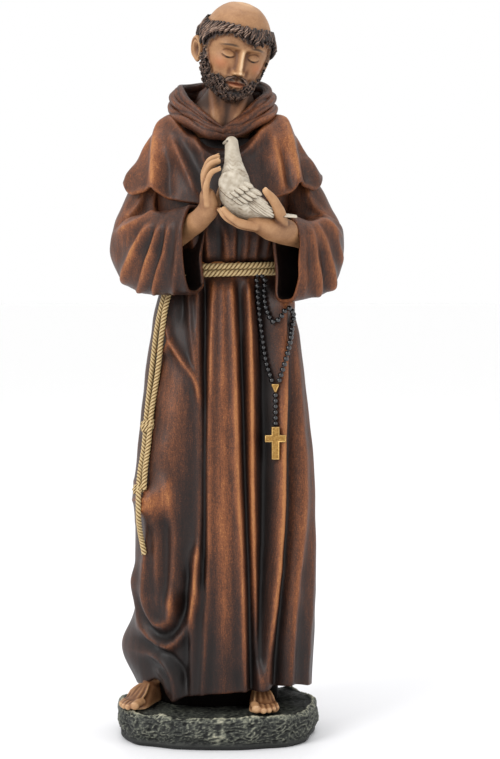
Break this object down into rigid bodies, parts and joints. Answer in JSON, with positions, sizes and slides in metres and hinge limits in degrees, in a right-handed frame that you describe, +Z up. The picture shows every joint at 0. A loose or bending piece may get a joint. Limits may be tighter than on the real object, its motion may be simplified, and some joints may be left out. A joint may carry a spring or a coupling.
{
  "type": "friar statue",
  "caption": "Painted resin statue of a barefoot bearded friar in a hooded brown habit with knotted cord and bead rosary, holding a white dove, on a rock base.",
  "frame": {"origin": "middle of the base's underside, below the figure", "axes": "+Z up the standing figure; the figure's front faces -Y; the figure's own right hand is on the -X side"},
  "size_m": [0.1466, 0.1154, 0.4595],
  "materials": {
    "painted_resin_brown": "hand-painted cast resin: dark brown habit with orange-brown highlights, tan skin, white dove",
    "painted_resin_rock": "hand-painted cast resin rock, charcoal with grey-green highlights",
    "black_beads": "glossy black beads",
    "antique_bronze": "antique bronze casting"
  },
  "bodies": {
    "root": {"statue_figure": "painted_resin_brown", "rock_base": "painted_resin_rock", "rosary_loop": "black_beads", "rosary_drop": "black_beads", "rosary_medal": "antique_bronze", "rosary_cross": "antique_bronze"}
  },
  "joints": []
}
